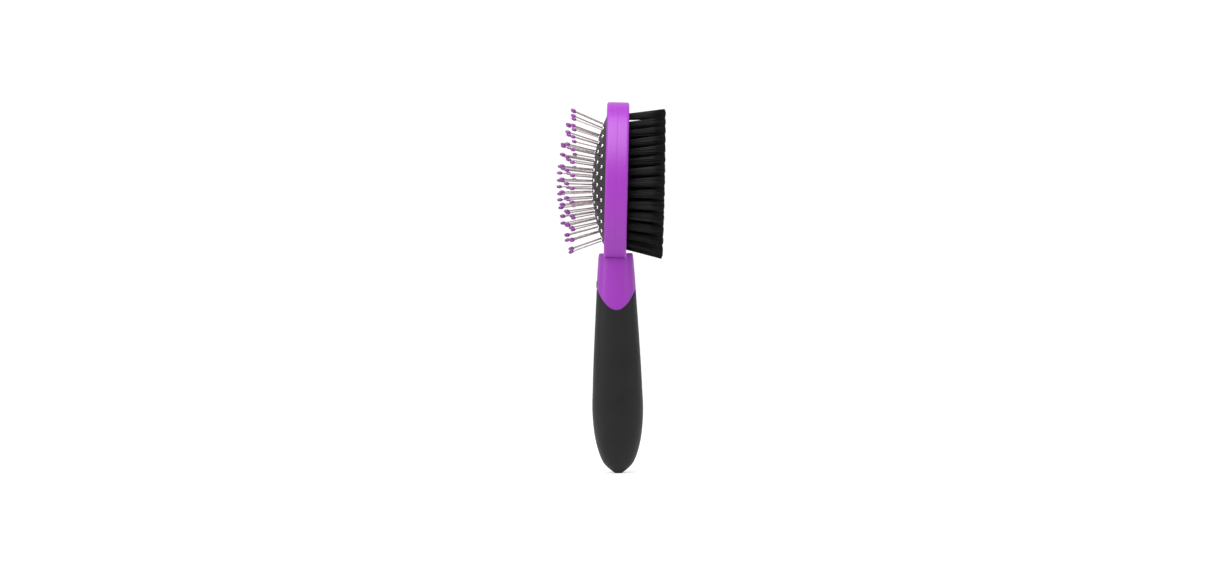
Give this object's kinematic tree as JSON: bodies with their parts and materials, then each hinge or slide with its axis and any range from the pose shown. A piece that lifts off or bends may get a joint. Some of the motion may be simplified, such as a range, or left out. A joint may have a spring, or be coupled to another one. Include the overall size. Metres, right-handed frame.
{
  "type": "pin and bristle pet brush",
  "caption": "Double-sided pet brush: ball-tipped steel pins in a domed rubber cushion on one face, bristle tufts on the other, on a rubber-sleeved handle.",
  "frame": {"origin": "middle of the small flat on the butt end of the handle", "axes": "+Z along the handle towards the head, -X out of the pin side, +X out of the bristle side, Y across the head"},
  "size_m": [0.068, 0.066, 0.2301],
  "materials": {
    "handle_plastic": "satin moulded",
    "grip_rubber": "soft touch",
    "badge_plastic": "satin",
    "frame_plastic": "satin moulded",
    "cushion_rubber": "matt",
    "base_plastic": "matt",
    "bristle_board": "satin moulded",
    "pin_steel": "polished wire",
    "bristle_nylon": "drawn filament"
  },
  "bodies": {
    "brush": {"handle_core": "handle_plastic", "grip_sleeve": "grip_rubber", "collar_badge": "badge_plastic", "head_frame_front": "frame_plastic", "head_frame_rear": "frame_plastic", "cushion_membrane": "cushion_rubber", "cushion_base_plate": "base_plastic", "bristle_plate": "bristle_board", "tuft_ring_1_left": "bristle_nylon", "tuft_ring_1_top": "bristle_nylon", "tuft_ring_1_right": "bristle_nylon", "tuft_ring_2_left": "bristle_nylon", "tuft_ring_2_right": "bristle_nylon", "tuft_ring_3_left": "bristle_nylon", "tuft_ring_3_right": "bristle_nylon", "tuft_ring_4": "bristle_nylon"},
    "pins_outer": {"pin_ring_1_left": "pin_steel", "pin_ring_1_top": "pin_steel", "pin_ring_1_right": "pin_steel"},
    "pins_second": {"pin_ring_2_left": "pin_steel", "pin_ring_2_right": "pin_steel"},
    "pins_third": {"pin_ring_3_left": "pin_steel", "pin_ring_3_right": "pin_steel"},
    "pins_inner": {"pin_ring_4": "pin_steel"}
  },
  "joints": [
    {"name": "cushion_press", "type": "slide", "parent": "brush", "child": "pins_inner", "axis": [0.9994, 0, -0.0349], "range_m": [0, 0.004], "stiffness_N_per_m": 3000, "deforming": ["cushion_membrane"]},
    {"name": "third_ring_press", "type": "slide", "parent": "brush", "child": "pins_third", "axis": [0.9994, 0, -0.0349], "range_m": [0, 0.00342]},
    {"name": "second_ring_press", "type": "slide", "parent": "brush", "child": "pins_second", "axis": [0.9994, 0, -0.0349], "range_m": [0, 0.0024]},
    {"name": "outer_ring_press", "type": "slide", "parent": "brush", "child": "pins_outer", "axis": [0.9994, 0, -0.0349], "range_m": [0, 0.00094]}
  ],
  "couplings": [
    {"joint": "third_ring_press", "follows": "cushion_press", "ratio": 0.8545},
    {"joint": "second_ring_press", "follows": "cushion_press", "ratio": 0.599},
    {"joint": "outer_ring_press", "follows": "cushion_press", "ratio": 0.234}
  ]
}
